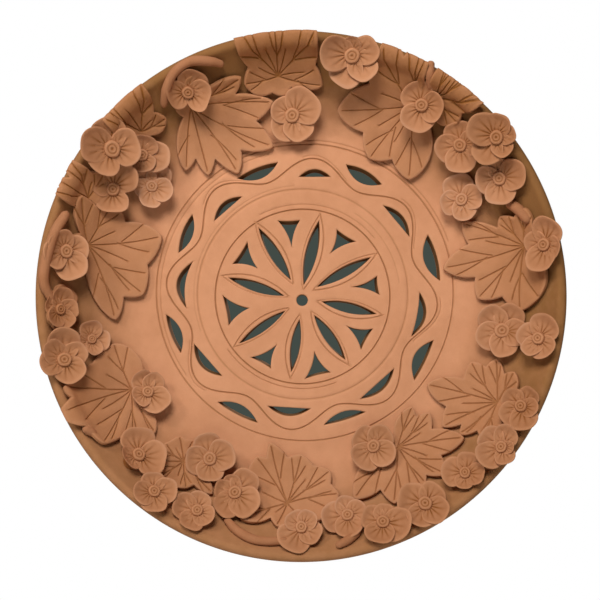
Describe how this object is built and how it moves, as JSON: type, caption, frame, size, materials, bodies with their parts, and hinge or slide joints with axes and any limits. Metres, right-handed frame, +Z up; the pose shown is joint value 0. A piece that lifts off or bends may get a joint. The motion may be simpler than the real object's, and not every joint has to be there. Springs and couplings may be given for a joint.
{
  "type": "decorative wall plaque",
  "caption": "Round terracotta wall plaque: a shallow dish with a pierced rosette floor and modelled flowers, leaves and stems laid round its wall.",
  "frame": {"origin": "the top of the foot ring's flat back face, against the wall it hangs on", "axes": "+Z up, -Y out of the wall towards the viewer, +X to the viewer's right; the wall is the plane y = 0"},
  "size_m": [0.4, 0.0795, 0.4008],
  "materials": {
    "dish_clay": "matt, unglazed fired terracotta, sponged smooth",
    "flower_clay": "matt, unglazed fired terracotta, pinched and tooled",
    "leaf_clay": "matt, unglazed fired terracotta, cut and incised",
    "stem_clay": "matt, unglazed fired terracotta, rolled"
  },
  "bodies": {
    "root": {"dish": "dish_clay", "flower_01": "flower_clay", "flower_02": "flower_clay", "flower_03": "flower_clay", "flower_04": "flower_clay", "flower_05": "flower_clay", "flower_06": "flower_clay", "flower_07": "flower_clay", "flower_08": "flower_clay", "flower_09": "flower_clay", "flower_10": "flower_clay", "flower_11": "flower_clay", "flower_12": "flower_clay", "flower_13": "flower_clay", "flower_14": "flower_clay", "flower_15": "flower_clay", "flower_16": "flower_clay", "flower_17": "flower_clay", "flower_18": "flower_clay", "flower_19": "flower_clay", "flower_20": "flower_clay", "flower_21": "flower_clay", "flower_22": "flower_clay", "flower_23": "flower_clay", "flower_24": "flower_clay", "flower_25": "flower_clay", "flower_26": "flower_clay", "flower_27": "flower_clay", "flower_28": "flower_clay", "flower_29": "flower_clay", "flower_30": "flower_clay", "flower_31": "flower_clay", "flower_32": "flower_clay", "flower_33": "flower_clay", "leaf_01": "leaf_clay", "leaf_02": "leaf_clay", "leaf_03": "leaf_clay", "leaf_04": "leaf_clay", "leaf_05": "leaf_clay", "leaf_06": "leaf_clay", "leaf_07": "leaf_clay", "leaf_08": "leaf_clay", "leaf_09": "leaf_clay", "leaf_10": "leaf_clay", "leaf_11": "leaf_clay", "leaf_12": "leaf_clay", "leaf_13": "leaf_clay", "leaf_14": "leaf_clay", "stem_01": "stem_clay", "stem_02": "stem_clay", "stem_03": "stem_clay", "stem_04": "stem_clay", "stem_05": "stem_clay", "stem_06": "stem_clay", "stem_07": "stem_clay"}
  },
  "joints": []
}
